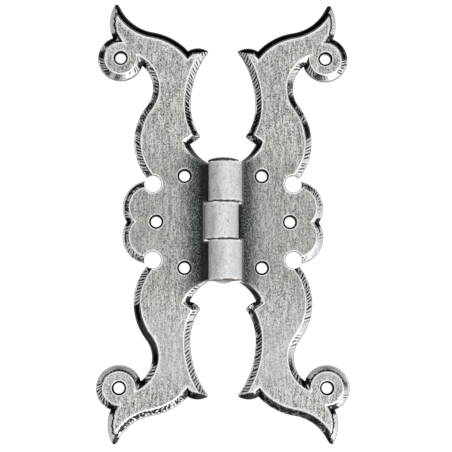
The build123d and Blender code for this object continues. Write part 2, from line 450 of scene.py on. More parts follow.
class Outline:
    """The even outline of a leaf: points, outward directions, distance along, and nearest point."""

    def __init__(self, loop):
        self.low_x = min(p.x for p in loop)
        corners, self.inner_corners, self.tips = find_corners(loop)
        self.points = smooth_outline(loop, corners, self.low_x)
        self.count = len(self.points)
        self.out = []
        self.along = []
        travelled = 0.0
        for k, point in enumerate(self.points):
            back = (point - self.points[k - 1]).normalized()
            ahead = (self.points[(k + 1) % self.count] - point).normalized()
            self.out.append(Vector((back.y + ahead.y, -back.x - ahead.x)).normalized())
            travelled += (point - self.points[k - 1]).length
            self.along.append(travelled)
        self.tree = flat_tree(self.points)
        self.is_roll = [p.x < self.low_x + SAME_PLACE for p in self.points]

    def nearest(self, x, y):
        """Number of the nearest outline point, and the distance to it."""
        return self.tree.find((x, y, 0))[1:]

    def worn(self, k):
        """The outline point moved in by the wear of the edge; along a roll it only moves along Y."""
        point = self.points[k]
        after = (k + 1) % self.count
        if not self.is_roll[k]:
            spread = max(self.out[k].dot(self.side(k)), SHARPEST_SPREAD)
            from_tip = min(((tip - point).length for tip in self.tips), default=TIP_REACH)
            return point - self.out[k] * (EDGE_WEAR / spread * min(from_tip / TIP_REACH, 1.0))
        for beyond, within in ((k - 1, after), (after, k - 1)):
            if not self.is_roll[beyond]:
                return point + Vector((0, EDGE_WEAR if self.points[within].y > point.y else -EDGE_WEAR))
        return point

    def foot(self, k):
        """How far the foot of the edge beside the barrel stands out, so that no light comes up there."""
        for step in range(FOOT_STEPS):
            for n in (k - step, k + step):
                if abs(self.points[n % self.count].x - LEAF_EDGE_X) > SAME_PLACE:
                    return SLIT_FOOT * max(step - 1, 0) / (FOOT_STEPS - 1)
        return SLIT_FOOT

    def side(self, k):
        """Outward direction of the step that leads up to a point."""
        back = (self.points[k] - self.points[k - 1]).normalized()
        return Vector((back.y, -back.x))

    def rolls(self):
        """Numbers of the outline points along each roll, in order."""
        ranges = []
        for k in range(self.count):
            if self.is_roll[k] and not self.is_roll[k - 1]:
                numbers = []
                step = k
                while self.is_roll[step % self.count]:
                    numbers.append(step % self.count)
                    step += 1
                ranges.append(numbers)
        return ranges


class Cloud:
    """Points in the plane that keep a distance from each other, and edges that must stay."""

    def __init__(self):
        self.points = []
        self.edges = []
        self.cells = {}

    def cell(self, point):
        return floor(point.x / CELL), floor(point.y / CELL)

    def is_free(self, point, gap):
        reach = ceil(gap / CELL)
        near = [range(middle - reach, middle + reach + 1) for middle in self.cell(point)]
        for cell in product(*near):
            if any((self.points[n] - point).length < gap for n in self.cells.get(cell, ())):
                return False
        return True

    def add(self, point, gap=0.0):
        """Number of the new point, or None where another one is too near."""
        if gap and not self.is_free(point, gap):
            return None
        number = len(self.points)
        self.points.append(point.copy())
        self.cells.setdefault(self.cell(point), []).append(number)
        return number

    def ring(self, points):
        numbers = [self.add(p) for p in points]
        self.edges += list(zip(numbers, numbers[1:] + numbers[:1]))
        return numbers

    def triangles(self, centres, radius):
        """Points, triangles with the holes left open, and the new number of each point of the cloud."""
        result = delaunay_2d_cdt(self.points, self.edges, [], INSIDE_ONLY, CLOUD_TOUCH)
        spots, faces, origin = result[0], result[2], result[3]
        numbers = {}
        for new, olds in enumerate(origin):
            for old in olds:
                numbers[old] = new
        kept = []
        for face in faces:
            middle = sum((spots[c] for c in face), Vector((0, 0))) / len(face)
            if all((middle - centre).length > radius for centre in centres):
                a, b, c = (spots[k] for k in face[:3])
                kept.append(face if (b - a).cross(c - a) > 0 else face[::-1])
        return spots, kept, numbers


def edge_zones(point, facing):
    """Share of each zone at a point of the outline that faces a direction."""
    measures = {
        "x": point.x,
        "y": point.y,
        "down": -point.y,
        "from_middle": abs(point.y),
        "facing_x": facing.x,
        "facing_y": facing.y,
        "facing_barrel": -facing.x,
        "outward": facing.y if point.y > 0 else -facing.y,
        "across": abs(facing.x),
        "lengthwise": abs(facing.y),
    }
    shares = dict.fromkeys(ZONES, 1.0)
    for name, ranges in ZONES.items():
        for measure, first, last in ranges:
            value = measures[measure]
            shares[name] *= ease(value, first, last) if first < last else fade(value, last, first)
    return Zones(**shares)


def painted_edge_shade(along, zone, hand, seed):
    """Painted shade at a place on the edge: black scale on the stretches that face away from the light,
    and grey where the shade is half.
    """
    patchy = wobble(along / SHADE_WAVE, seed + 3.0) + hand.black_flank - 0.5
    even_flank = abs(2 * hand.black_flank - 1)
    even_brow = abs(2 * hand.black_brow - 1)
    dull = max(zone.flank * (1 - even_flank), zone.brow * (1 - even_brow))
    spread = mix(0.9, 0.3, even_flank)
    flank = zone.flank * ease(patchy, -spread, spread) * mix(1.0, 0.6, dull)
    eye = 0.75 * zone.eye * ease(patchy, -0.7, 0.1)
    shoulder = zone.shoulder * mix(0.2, 1.0, hand.black_brow)
    return max(zone.brow * hand.black_brow, zone.beak, shoulder, flank, eye), dull


class LeafTop:
    """Heights and marks of a leaf's upper side: the CAD solid's, worn and filed."""

    def __init__(self, tree, outline, edge_points, seed, hands):
        self.tree = tree
        self.outline = outline
        self.seed = seed
        self.edges = []
        for point, out, along in zip(outline.points, outline.out, outline.along):
            zone = edge_zones(point, out)
            hand = hands[0 if point.y > 0 else 1]
            self.edges.append(Edge(point, out, along, zone, hand, *painted_edge_shade(along, zone, hand, seed)))
        self.arris = flat_tree(edge_points)

    def solid(self, x, y):
        """Height of the solid's upper side, or None beside it."""
        hit = self.tree.ray_cast(Vector((x, y, CAST_HEIGHT)), Vector((0, 0, -1)), CAST_HEIGHT)[0]
        return hit.z if hit and hit.z > LEAST_HEIGHT else None

    def soft(self, x, y, plain):
        """The solid's height with its edges rounded over."""
        total = plain
        weight = 1
        for part, sides in ARRIS_RINGS:
            for cosine, sine in around(sides):
                z = self.solid(x + cosine * ARRIS_WEAR * part, y + sine * ARRIS_WEAR * part)
                if z is not None:
                    total += z
                    weight += 1
        return total / weight

    def strokes(self, edge, from_arris):
        """File strokes across the bevel: depth of the groove, and bright ridge."""
        zone = edge.zone
        patch = ease(wobble(edge.along / PATCH_WAVE, self.seed), -0.32, 0.02)
        patch = max(patch, 0.85 * zone.hollow, zone.notch)
        strength = mix(mix(0.35, 1.0, zone.filed_side) * mix(0.06, 1.0, patch), 0.08, edge.black)

        sway = MARK_SWAY * wobble(edge.along / SWAY_WAVE, self.seed + 7.0)
        phase = (edge.along + sway - edge.hand.slant * MARK_SLANT * from_arris) / MARK_PITCH
        stroke = floor(phase)
        dark_hollow = ease(edge.hand.black_brow, 0.0, 0.5)
        bold = mix(1.6, mix(mix(1.4, 0.3, dark_hollow), 2.4, zone.hollow_top), zone.hollow)
        profile = abs(sin(pi * (phase - stroke))) ** bold

        start = 0.25 * chance(stroke, self.seed + 1)
        stop = 1.02 - 0.4 * chance(stroke, self.seed + 2)
        share = from_arris / BEVEL
        strength *= ease(share, start - 0.12, start + 0.06) * fade(share, stop - 0.08, stop + 0.08)
        weight = chance(stroke, self.seed)
        weight = mix(0.5, 1.0, weight) if weight > 0.2 else 0.1
        weight = mix(weight, 1.0, dark_hollow * zone.hollow * (1 - zone.hollow_top))
        return strength * weight * profile, strength * zone.filed_side * (1 - profile)

    def marks(self, edge, depth_in):
        """Groove and ridge at a distance in from the edge: strokes, painted shade as black scale, and
        bright patches.
        """
        zone = edge.zone
        from_arris = BEVEL - depth_in
        share = from_arris / BEVEL
        groove_dirt_and_shade, ridge_and_half_shade = self.strokes(edge, from_arris)
        along_wave, across_wave = MOTTLE_WAVES
        mottle = wobble(edge.along / along_wave, from_arris / across_wave, self.seed + 5.0)
        rough = ease(mottle, -0.2, 0.15)
        filed_brow = zone.brow * (1 - edge.black)
        band = ease(from_arris, *BROW_BAND) * fade(from_arris, *BROW_BAND_END)
        groove_dirt_and_shade = mix(groove_dirt_and_shade, ease(rough, 0.0, 0.35) * band, filed_brow)
        groove_dirt_and_shade = mix(groove_dirt_and_shade, 0.8 * rough * fade(share, *LOW_EYE_DARK_END), zone.low_eye)
        low_line = 0.5 * ease(share, *LOW_EYE_BRIGHT) * fade(share, *LOW_EYE_BRIGHT_END)
        ridge_and_half_shade = mix(ridge_and_half_shade, low_line, zone.low_eye)
        bright = zone.lobe * ease(rough, 0.6, 0.9) * fade(from_arris, *LOBE_BRIGHT_END)
        # Grey where the painted shade is half goes into the ridge mark, and the black of the painted shade
        # into the groove mark
        ridge_and_half_shade = max(mix(ridge_and_half_shade, 0.5, filed_brow), bright, edge.dull * mix(0.2, 0.36, rough))
        black = min(edge.black * mix(1.0, mix(0.7, 1.5, rough), edge.dull), 1.0)
        return max(groove_dirt_and_shade * (1 - bright), black), ridge_and_half_shade

    def wave(self, x, y):
        """How uneven the hammered face is at a point."""
        broad = wobble(x / 9.0, y / 12.0, self.seed)
        fine = wobble(x / 3.1, y / 3.7, self.seed)
        return FACE_WAVE * (broad + 0.4 * fine)

    def bulge(self, edge, share):
        """How far the crowned bevel stands above the solid's flat one, at a share of the way down."""
        uneven = edge.zone.uneven_side * wobble(edge.along / CROWN_WAVE, self.seed + 4.0)
        crown = BEVEL_CROWN * (1 + uneven)
        power = mix(*BEVEL_POWER, edge.zone.full_end)
        return (SHEET - EDGE_LAND) * crown * (share - share**power)

    def face_marks(self, edge, depth_in, from_arris):
        """Marks on the flat face: painted shade that reaches over the arris as black, bright line, and a
        dark line of painted shade along edges without bevel.
        """
        over = edge.black * fade(from_arris, *OVER_END)
        # A dark line of painted shade along edges without bevel, where the wall drops away
        dark = max(fade(depth_in, *PLAIN_EDGE_DARK_END), over)
        line = fade(from_arris - SHADE_REACH * edge.black, *FACE_LINE_END)
        bright = max(line, 0.9 * fade(depth_in, *PLAIN_EDGE_BRIGHT_END))
        return dark, bright * (1 - dark), mix(0.75, 1.0, over) * dark, 0.0

    def bevel_marks(self, edge, from_arris, dark, groove_dirt_and_shade, ridge_and_half_shade):
        """File marks of the bevel with the crest's line, dark foot and corners, and worn arris."""
        sway = wobble(edge.along / CREST_WAVE, self.seed + 9.0)
        line = fade(abs(from_arris - (CREST_LINE_IN + CREST_LINE_SWAY * sway)), *CREST_LINE_EDGE)
        groove_dirt_and_shade = mix(groove_dirt_and_shade, line, edge.zone.crest)
        ridge_and_half_shade = mix(ridge_and_half_shade, 0.6 * (1 - line), edge.zone.crest)
        arris_end = [mix(a, b, edge.black) for a, b in zip(ARRIS_BARE_END, ARRIS_BLACK_END)]
        return fade(from_arris, *arris_end), max(groove_dirt_and_shade, dark), ridge_and_half_shade * (1 - dark)

    def worked(self, x, y):
        """Height and marks at a point of the upper side."""
        plain = self.solid(x, y)
        number, depth_in = self.outline.nearest(x, y)
        edge = self.edges[number]
        if plain is None:
            probe = edge.point - edge.out * PROBE_DEPTH
            plain = self.solid(probe.x, probe.y) or SHEET
            height = plain
        else:
            height = self.soft(x, y, plain)
        height += self.wave(x, y)
        from_arris = self.arris.find((x, y, 0))[2]
        if plain > SHEET - SAME_PLACE:
            return height, self.face_marks(edge, depth_in, from_arris)
        share = min(max((SHEET - plain) / (SHEET - EDGE_LAND), 0.0), 1.0)
        groove_dirt_and_shade, ridge_and_half_shade = self.marks(edge, depth_in)
        height += self.bulge(edge, share)
        height -= groove_dirt_and_shade * MARK_DEPTH * ease(share, *MARKS_BEGIN)
        from_corner = min((c - Vector((x, y))).length for c in self.outline.inner_corners)
        dark = max(0.7 * fade(depth_in, *BEVEL_FOOT_END), fade(from_corner, *CORNER_DARK_END))
        bevel = ease(SHEET - plain, *BEVEL_BEGIN)
        return height, (bevel, *self.bevel_marks(edge, from_arris, dark, groove_dirt_and_shade, ridge_and_half_shade))


def add_line_points(cloud, outline, spots, lines, centres):
    """Points and edges along the sharp lines; gives the ends and steps of those around the face."""
    arrises = []
    seen = {}
    for a, b in lines:
        start, end = spots[a].xy, spots[b].xy
        middle = (start + end) / 2
        if any((middle - centre).length < RIM_RADIUS + LINE_TO_RIM for centre in centres):
            continue
        steps = max(1, ceil((end - start).length / LINE_STEP))
        ends = {0: a, steps: b}
        chain = []
        for k in range(steps + 1):
            point = start.lerp(end, k / steps)
            if k in ends and ends[k] in seen:
                chain.append(seen[ends[k]])
                continue
            clear = outline.nearest(point.x, point.y)[1] > LINE_END
            number = cloud.add(point, LINE_GAP) if clear else None
            chain.append(number)
            if k in ends:
                seen[ends[k]] = number
        cloud.edges += [(p, q) for p, q in zip(chain, chain[1:]) if p is not None and q is not None]
        if on_face(spots, (a, b)):
            arrises.append((start, end, steps))
    return arrises


def add_arris_rows(cloud, top, arrises):
    """Rows of points on both sides of the arris."""
    for offset in ARRIS_ROWS:
        for start, end, steps in arrises:
            way = (end - start).normalized()
            across = Vector((-way.y, way.x))
            for k in range(steps):
                point = start.lerp(end, (k + 0.5) / steps) + across * offset
                if top.solid(point.x, point.y) is not None:
                    cloud.add(point, ARRIS_GAP)


def add_bevel_rows(cloud, top):
    """Rows of points along the outline, from the edge up the bevel."""
    outline = top.outline
    for depth in BEVEL_ROWS:
        for point, out in zip(outline.points, outline.out):
            inner = point - out * depth
            height = top.solid(inner.x, inner.y)
            if height is None or (height > SHEET - ON_BEVEL and depth > FACE_ROWS_END):
                continue
            if outline.nearest(inner.x, inner.y)[1] > depth - ROW_SLACK:
                cloud.add(inner, BEVEL_GAP)


def add_grids(cloud, top):
    """A fine grid of points on the bevel and a coarse one on the face, where there is room."""
    points = top.outline.points
    low = Vector((min(p.x for p in points), min(p.y for p in points)))
    high = Vector((max(p.x for p in points), max(p.y for p in points)))
    for step, gap, on_bevel in GRIDS:
        for i in range(ceil((high.x - low.x) / step)):
            for j in range(ceil((high.y - low.y) / step)):
                point = low + Vector((i + 0.5 * (j % 2), j)) * step
                height = top.solid(point.x, point.y)
                if height is not None and (height < SHEET - ON_BEVEL) == on_bevel:
                    cloud.add(point, gap)


def leaf_cloud(top, spots, lines, centres):
    """The points of a leaf's upper side, and the numbers of its outline and hole rims among them."""
    outline = top.outline
    cloud = Cloud()
    border = cloud.ring([outline.worn(k) for k in range(outline.count)])
    rims = [cloud.ring(circle(centre, RIM_RADIUS, HOLE_SIDES)) for centre in centres]
    arrises = add_line_points(cloud, outline, spots, lines, centres)
    for centre in centres:
        for wider, sides in RIM_RINGS:
            for point in circle(centre, RIM_RADIUS + wider, sides):
                cloud.add(point, RIM_GAP)
    add_arris_rows(cloud, top, arrises)
    add_bevel_rows(cloud, top)
    add_grids(cloud, top)
    return cloud, border, rims


def add_top(shell, top, spots, lines, centres):
    """The worked upper side; gives the corners along its outline and along each hole rim."""
    cloud, border, rims = leaf_cloud(top, spots, lines, centres)
    flat, kept, numbers = cloud.triangles(centres, RIM_RADIUS * INSIDE)
    outline_places = {numbers[k]: n for n, k in enumerate(border)}
    rim_numbers = {numbers[k] for rim in rims for k in rim}
    corners = []
    for number, point in enumerate(flat):
        if number in outline_places and top.outline.is_roll[outline_places[number]]:
            corners.append(shell.spot(point.x, point.y, SHEET))
        elif number in rim_numbers:
            corners.append(shell.spot(point.x, point.y, SHEET, arris=0.6))
        else:
            z, marks = top.worked(point.x, point.y)
            corners.append(shell.spot(point.x, point.y, z, *marks))
    for face in kept:
        shell.face([corners[c] for c in face])
    return [corners[numbers[k]] for k in border], [[corners[numbers[k]] for k in rim] for rim in rims]


def add_edge(shell, outline, upper):
    """The edge below the outline, left open at the rolls; gives the corners along its foot."""
    lip, heel, base = [], [], []
    for k, point in enumerate(outline.points):
        z = shell.spots[upper[k]].z
        worn = outline.worn(k)
        foot = outline.foot(k)
        lip.append(shell.spot(point.x, point.y, z - EDGE_WEAR, bevel=1.0, groove_dirt_and_shade=1.0))
        heel.append(shell.spot(point.x - foot, point.y, EDGE_WEAR, bevel=1.0, groove_dirt_and_shade=0.95))
        base.append(shell.spot(worn.x - foot, worn.y, 0.0))
    for k in range(outline.count):
        after = (k + 1) % outline.count
        if outline.is_roll[k] and outline.is_roll[after]:
            continue
        for low, high in ((lip, upper), (heel, lip), (base, heel)):
            shell.face([low[k], low[after], high[after], high[k]])
    return base


def add_back(shell, base, centres, radius):
    """The flat back with holes of a radius; gives the corners along each of them."""
    cloud = Cloud()
    border = cloud.ring([shell.spots[k].xy for k in base])
    rims = [cloud.ring(circle(centre, radius, HOLE_SIDES)) for centre in centres]
    flat, kept, numbers = cloud.triangles(centres, radius * INSIDE)
    corners = {numbers[k]: base[n] for n, k in enumerate(border)}
    for number, point in enumerate(flat):
        if number not in corners:
            corners[number] = shell.spot(point.x, point.y, 0.0)
    for face in kept:
        shell.face([corners[c] for c in reversed(face)])
    return [[corners[numbers[k]] for k in rim] for rim in rims]


def add_hole(shell, centre, radius, rim, back_rim):
    """The sink, burr and wall of a screw hole between its two rims."""
    # Radius and height of each row of corners, and its arris and groove marks
    rows = (
        (SINK_RADIUS + 0.06, SHEET - 0.012, 0.5, 0.4),
        (SINK_RADIUS + 0.02, SHEET - 0.035, 0.0, 1.0),
        (SINK_RADIUS - 0.1, SHEET - 0.15, 0.0, 1.0),
        (radius, SHEET - SINK_DEPTH + 0.05, 0.0, 1.0),
        (radius - BURR, SHEET - SINK_DEPTH - 0.1, 0.0, 1.0),
        (radius - BURR, EDGE_WEAR, 0.0, 1.0),
    )
    before = rim
    for reach, z, arris, groove_dirt_and_shade in rows:
        row = []
        for cosine, sine in around(HOLE_SIDES):
            x, y = centre.x + reach * cosine, centre.y + reach * sine
            row.append(shell.spot(x, y, z, bevel=groove_dirt_and_shade, arris=arris, groove_dirt_and_shade=groove_dirt_and_shade))
        shell.strip(before, row)
        before = row
    shell.strip(before, back_rim)


class Roll:
    """A knuckle: the sheet rolled from its back over the far side and down to its own face."""

    def __init__(self, outline, numbers, radius, seed):
        ends = [outline.points[k].y for k in numbers]
        self.low, self.high = min(ends), max(ends)
        self.rows = sorted(outline.worn(k).y for k in numbers)
        self.axis_x = outline.low_x
        self.radius = radius
        self.seed = seed

    def place(self, angle, reach, y, rough):
        """A point at an angle around the pin and a distance from it, moved by the rough skin."""
        skin = SKIN_WAVE * wobble(angle * 2.2, y / 4.0, self.seed)
        skin += SKIN_GRAIN * wobble(angle * 7.0, y / 1.1, self.seed)
        size = reach + rough * skin
        return self.axis_x + size * cos(angle), y, self.radius + size * sin(angle)

    def end(self, angle, side):
        """How far the low end (side -1) or the high end (1) is off at an angle, and the dirt on it."""
        off = RAGGED_END * wobble(angle * 3.5, side, self.seed)
        off += RAGGED_END * wobble(angle * 11.0, side, self.seed)
        return off, 0.9 * ease(wobble(angle * 5.0, side, self.seed + 2.0), -0.3, 0.1)

    def loop(self, shell, share):
        """Corners once around the sheet's section, at a share of the way along the roll."""
        radius, bore = self.radius, self.radius - SHEET
        angle = mix(ROLL_START, asin((SHEET + ROLL_SEAM - radius) / radius), share)
        away = ease(share, *ROLL_RUN_IN)
        wear = SEAM_WEAR if share == 1 else mix(EDGE_WEAR, RIM_WEAR, away)
        inner_wear = SEAM_WEAR if share == 1 else mix(EDGE_WEAR, BORE_WEAR, away)
        low_off, low_dirt = self.end(angle, -1)
        high_off, high_dirt = self.end(angle, 1)
        low, high = self.low + away * low_off, self.high + away * high_off
        outer = [low + wear, *self.rows[1:-1], high - wear]
        inner = [high - inner_wear, *self.rows[-2:0:-1], low + inner_wear]

        # Reach, y, roughness, arris and groove of each corner
        ring = []
        for k, y in enumerate(outer):
            is_rim = k in (0, len(outer) - 1)
            dirt = ease(wobble(angle * 3.0, y, self.seed), -0.3, 0.2) if is_rim else 0.0
            arris = fade(min(y - self.low, self.high - y), *WORN_END) * (1 - dirt)
            ring.append((radius, y, away, arris, 0.85 * dirt))
        ring.append((radius - wear, high, 0.0, 0.0, high_dirt))
        ring.append((bore + inner_wear, high, 0.0, 0.0, 1.0))
        ring += [(bore, y, 0.0, 0.0, 1.0) for y in inner]
        ring.append((bore + inner_wear, low, 0.0, 0.0, 1.0))
        ring.append((radius - wear, low, 0.0, 0.0, low_dirt))
        corners = []
        for reach, y, rough, arris, groove_dirt_and_shade in ring:
            corners.append(shell.spot(*self.place(angle, reach, y, rough), arris=arris, groove_dirt_and_shade=groove_dirt_and_shade))
        return corners

    def close(self, shell, loop):
        """Faces over the end of the sheet at the seam."""
        count = len(self.rows)
        outer = loop[:count]
        inner = loop[count + 2 : 2 * count + 2][::-1]
        for k in range(count - 1):
            shell.face([outer[k], outer[k + 1], inner[k + 1], inner[k]], BARREL_LOOK)
        shell.face([outer[-1], loop[count], loop[count + 1], inner[-1]], BARREL_LOOK)
        shell.face([inner[0], loop[-2], loop[-1], outer[0]], BARREL_LOOK)

    def build(self, shell):
        before = self.loop(shell, 0)
        for column in range(1, ROLL_COLUMNS + 1):
            loop = self.loop(shell, column / ROLL_COLUMNS)
            shell.strip(before, loop, BARREL_LOOK)
            before = loop
        self.close(shell, before)


def arris_points(spots, lines):
    """Points in close steps along the lines where the flat face ends."""
    points = []
    for a, b in lines:
        if on_face(spots, (a, b)):
            steps = ceil((spots[b] - spots[a]).length / ARRIS_STEP)
            points += [spots[a].lerp(spots[b], k / steps) for k in range(steps + 1)]
    return points


def build_leaf(node, mirrored, seed, hands):
    """One leaf as a single closed skin: filed plate, screw holes and rolled knuckles."""
    spots, faces, tree = read_solid(node, mirrored)
    loops = back_loops(spots, faces)
    outline = Outline(loops[0])
    centres = [sum(loop, Vector((0, 0))) / len(loop) for loop in loops[1:]]
    hole_radius = max((p - centres[0]).length for p in loops[1])
    lines = sharp_lines(spots, faces)
    top = LeafTop(tree, outline, arris_points(spots, lines), seed, hands)

    shell = Shell()
    upper, rims = add_top(shell, top, spots, lines, centres)
    base = add_edge(shell, outline, upper)
    back_rims = add_back(shell, base, centres, hole_radius + EDGE_WEAR)
    for centre, rim, back_rim in zip(centres, rims, back_rims):
        add_hole(shell, centre, hole_radius, rim, back_rim)
    barrel_radius = max(s.z for s in spots) / 2
    for n, numbers in enumerate(outline.rolls()):
        Roll(outline, numbers, barrel_radius, seed + 3 * n).build(shell)
    return shell


def pin_profile(foot, peen, base, head):
    """Radius and height of each row of the pin, from its foot up to the top of its head."""
    profile = [(reach, foot + rise) for reach, rise in FOOT_PROFILE]
    profile += [(reach, peen + rise) for reach, rise in PEEN_PROFILE]
    profile += [(PIN_RADIUS, peen + (base - peen) * k / ROD_STEPS) for k in range(1, ROD_STEPS)]
    profile += [(PIN_RADIUS, base), (HEAD_FLAT_RADIUS, base)]
    profile += [(head - inset, base + rise) for inset, rise in HEAD_RIM_PROFILE]
    profile += [(reach, base + rise) for reach, rise in HEAD_DOME_PROFILE]
    return profile


def build_pin():
    """The pin turned about its axis, with hammered dome and peened end."""
    low, high = (v * 1000 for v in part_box("hinge_pin"))
    axis_z = (low.z + high.z) / 2
    head = (high.x - low.x) / 2
    top, foot = high.y, low.y
    base = top - HEAD_HEIGHT
    peen = foot + PEEN_HEIGHT
    shell = Shell()
    rows = []
    for reach, y in pin_profile(foot, peen, base, head):
        on_foot = y < peen - 0.3
        on_dome = y > base + 0.3
        is_lifted = 0 < reach < head - 0.2 and (on_dome or on_foot)
        is_rim = abs(reach - head) < 0.1 or abs(reach - PEEN_RADIUS) < 0.06
        row = []
        for cosine, sine in around(PIN_SIDES):
            dent = 0.0
            if reach > DENT_RADIUS or on_foot:
                dent = PIN_DENT * wobble(cosine * reach / DENT_WAVE, sine * reach / DENT_WAVE, y)
            size = reach * (1 + dent * 0.3)
            lift = dent if is_lifted else 0.0
            x, z = min(size, head) * cosine, axis_z + size * sine
            row.append(shell.spot(x, min(max(y + lift, foot), top), z, arris=1.0 if is_rim else 0.0))
        rows.append(row)
    for first, second in zip(rows, rows[1:]):
        shell.strip(first, second)
    return shell


def weld_mesh(mesh):
    """Joins the corners where the plate and its rolls meet."""
    work = bmesh.new()
    work.from_mesh(mesh)
    bmesh.ops.remove_doubles(work, verts=work.verts, dist=WELD)
    bmesh.ops.dissolve_degenerate(work, edges=work.edges, dist=THINNEST)
    bmesh.ops.recalc_face_normals(work, faces=work.faces)
    work.to_mesh(mesh)
    work.free()


def new_object(name, data):
    item = bpy.data.objects.new(name, data)
    bpy.context.scene.collection.objects.link(item)
    return item


def make_piece(name, shell, mirrored, materials, smooth_angle):
    """A mesh object from a shell, in metres, with its marks as attributes."""
    side = -1 if mirrored else 1
    mesh = bpy.data.meshes.new(name)
    points = [(side * s.x / 1000, s.y / 1000, s.z / 1000) for s in shell.spots]
    faces = [f[::-1] if mirrored else f for f in shell.faces]
    mesh.from_pydata(points, [], faces)
    for n, label in enumerate(MARKS):
        layer = mesh.attributes.new(label, "FLOAT", "POINT")
        layer.data.foreach_set("value", [m[n] for m in shell.marks])
    mesh.polygons.foreach_set("material_index", shell.looks)
    for material in materials:
        mesh.materials.append(material)
    weld_mesh(mesh)
    mesh.polygons.foreach_set("use_smooth", [True] * len(mesh.polygons))
    mesh.set_sharp_from_angle(angle=radians(smooth_angle))
    return new_object(name, mesh)


class Nodes:
    """Short ways to make and join shader nodes."""

    def __init__(self, tree):
        self.tree = tree

    def add(self, kind, inputs=(), **settings):
        node = self.tree.nodes.new(kind)
        for key, value in settings.items():
            setattr(node, key, value)
        self.put(node, dict(inputs))
        return node

    def put(self, node, inputs):
        for key, value in inputs.items():
            if isinstance(value, bpy.types.NodeSocket):
                self.tree.links.new(value, node.inputs[key])
            else:
                node.inputs[key].default_value = value

    def math(self, operation, a, b=0.0):
        return self.add("ShaderNodeMath", {0: a, 1: b}, operation=operation).outputs[0]

    def times(self, a, b):
        return self.math("MULTIPLY", a, b)

    def ramp(self, value, low, high, to_low=0.0, to_high=1.0):
        node = self.add(
            "ShaderNodeMapRange",
            {"Value": value, "From Min": low, "From Max": high, "To Min": to_low, "To Max": to_high},
            interpolation_type="SMOOTHSTEP",
        )
        return node.outputs["Result"]

    def blend(self, share, a, b):
        return self.add("ShaderNodeMix", {0: share, 6: a, 7: b}, data_type="RGBA").outputs[2]

    def paint(self, colour, *layers):
        """A colour under layers, each one a share and a colour."""
        for share, over in layers:
            colour = self.blend(share, colour, over)
        return colour

    def place(self):
        return self.add("ShaderNodeTexCoord").outputs["Object"]

    def parts(self, vector):
        """X, Y and Z of a vector."""
        return self.add("ShaderNodeSeparateXYZ", {0: vector}).outputs

    def noise(self, place, scale, detail=3.0, roughness=0.55):
        """Noise at so many waves per millimetre along X, Y and Z."""
        spread = self.add("ShaderNodeMapping", {"Vector": place, "Scale": [1000 * s for s in scale]})
        inputs = {"Vector": spread.outputs[0], "Scale": 1.0, "Detail": detail, "Roughness": roughness}
        return self.add("ShaderNodeTexNoise", inputs).outputs[0]

    def mark(self, name):
        return self.add("ShaderNodeAttribute", attribute_name=name).outputs["Fac"]

    def bump(self, strength, distance, height):
        inputs = {"Strength": strength, "Distance": distance, "Height": height}
        return self.add("ShaderNodeBump", inputs).outputs[0]


def grey(value, warm=0.0):
    return (value * (1 + warm), value, value * (1 - warm), 1.0)


def new_material(name):
    material = bpy.data.materials.new(name)
    material.use_nodes = True
    nodes = Nodes(material.node_tree)
    return material, nodes, nodes.tree.nodes["Principled BSDF"]


def brushed_face(nodes, place, grain, pit):
    """Colour of the flat face: brushed and pitted, darker at mid height, lighter lower down."""
    cloud = nodes.noise(place, (0.11, 0.07, 0.1), 3.0)
    y = nodes.parts(place)[1]
    tone = nodes.ramp(grain, 0.39, 0.60)
    darker_mid_height = nodes.ramp(nodes.math("ABSOLUTE", y), 0.013, 0.030, 0.30, 0.0)
    lighter_low_band = nodes.times(nodes.ramp(y, -0.040, -0.020, 0.4, 0.0), nodes.ramp(y, -0.056, -0.047))
    return nodes.paint(
        (0.170, 0.170, 0.160, 1.0),
        (tone, (0.765, 0.765, 0.735, 1.0)),
        (nodes.ramp(cloud, 0.35, 0.7, 0.0, 0.25), grey(0.52)),
        (nodes.times(pit, 0.75), grey(0.06)),
        (darker_mid_height, (0.218, 0.220, 0.202, 1.0)),
        (lighter_low_band, grey(0.60)),
    )


def barrel_soot_and_shade(nodes, place, hair, speck):
    """Share and colour of the soot on the face beside the barrel, with painted shadow of the barrel that
    reaches further on the left, and a near-black crevice line of painted shade next to the barrel.
    """
    x, y = nodes.parts(place)[:2]
    # Moved toward +X, so that it reaches further on the left leaf: painted shadow of the barrel
    beside = nodes.math("ABSOLUTE", nodes.math("ADD", x, 0.0008))
    from_barrel = nodes.math("SUBTRACT", beside, LEAF_EDGE_X / 1000)
    ragged = nodes.math("SUBTRACT", nodes.noise(place, (1.7, 0.5, 1.0), 4.0, 0.65), 0.5)
    reach = nodes.math("ADD", from_barrel, nodes.times(ragged, 0.006))
    along = nodes.ramp(nodes.math("ABSOLUTE", y), 0.0195, 0.0255, 1.0, 0.0)
    share = nodes.times(nodes.ramp(reach, 0.0011, 0.0086, 1.0, 0.0), along)
    tone = nodes.ramp(hair, 0.46, 0.62)
    flake = nodes.ramp(speck, 0.28, 0.40, 0.9, 0.0)
    # Near-black crevice line right at the barrel: painted shade
    crevice_shade = nodes.ramp(from_barrel, 0.0, 0.0014, 0.9, 0.0)
    soot_and_shade = nodes.paint(
        (0.001, 0.004, 0.003, 1.0),
        (tone, (0.150, 0.185, 0.165, 1.0)),
        (flake, (0.17, 0.20, 0.18, 1.0)),
        (crevice_shade, (0.003, 0.005, 0.0045, 1.0)),
    )
    return share, soot_and_shade


def filed_bevel(nodes, streak, groove_dirt_and_shade, ridge_and_half_shade):
    """Colour of the bevel: bright filed steel, black in the grooves and where shade is painted."""
    return nodes.paint(
        grey(0.58, -0.01),
        (nodes.ramp(streak, 0.3, 0.7), grey(0.78, -0.01)),
        (ridge_and_half_shade, grey(0.86)),
        # Black of the file grooves, and painted shade on bevels that face away from the light
        (nodes.ramp(groove_dirt_and_shade, 0.2, 0.65, 0.0, 0.97), (0.020, 0.025, 0.024, 1.0)),
    )


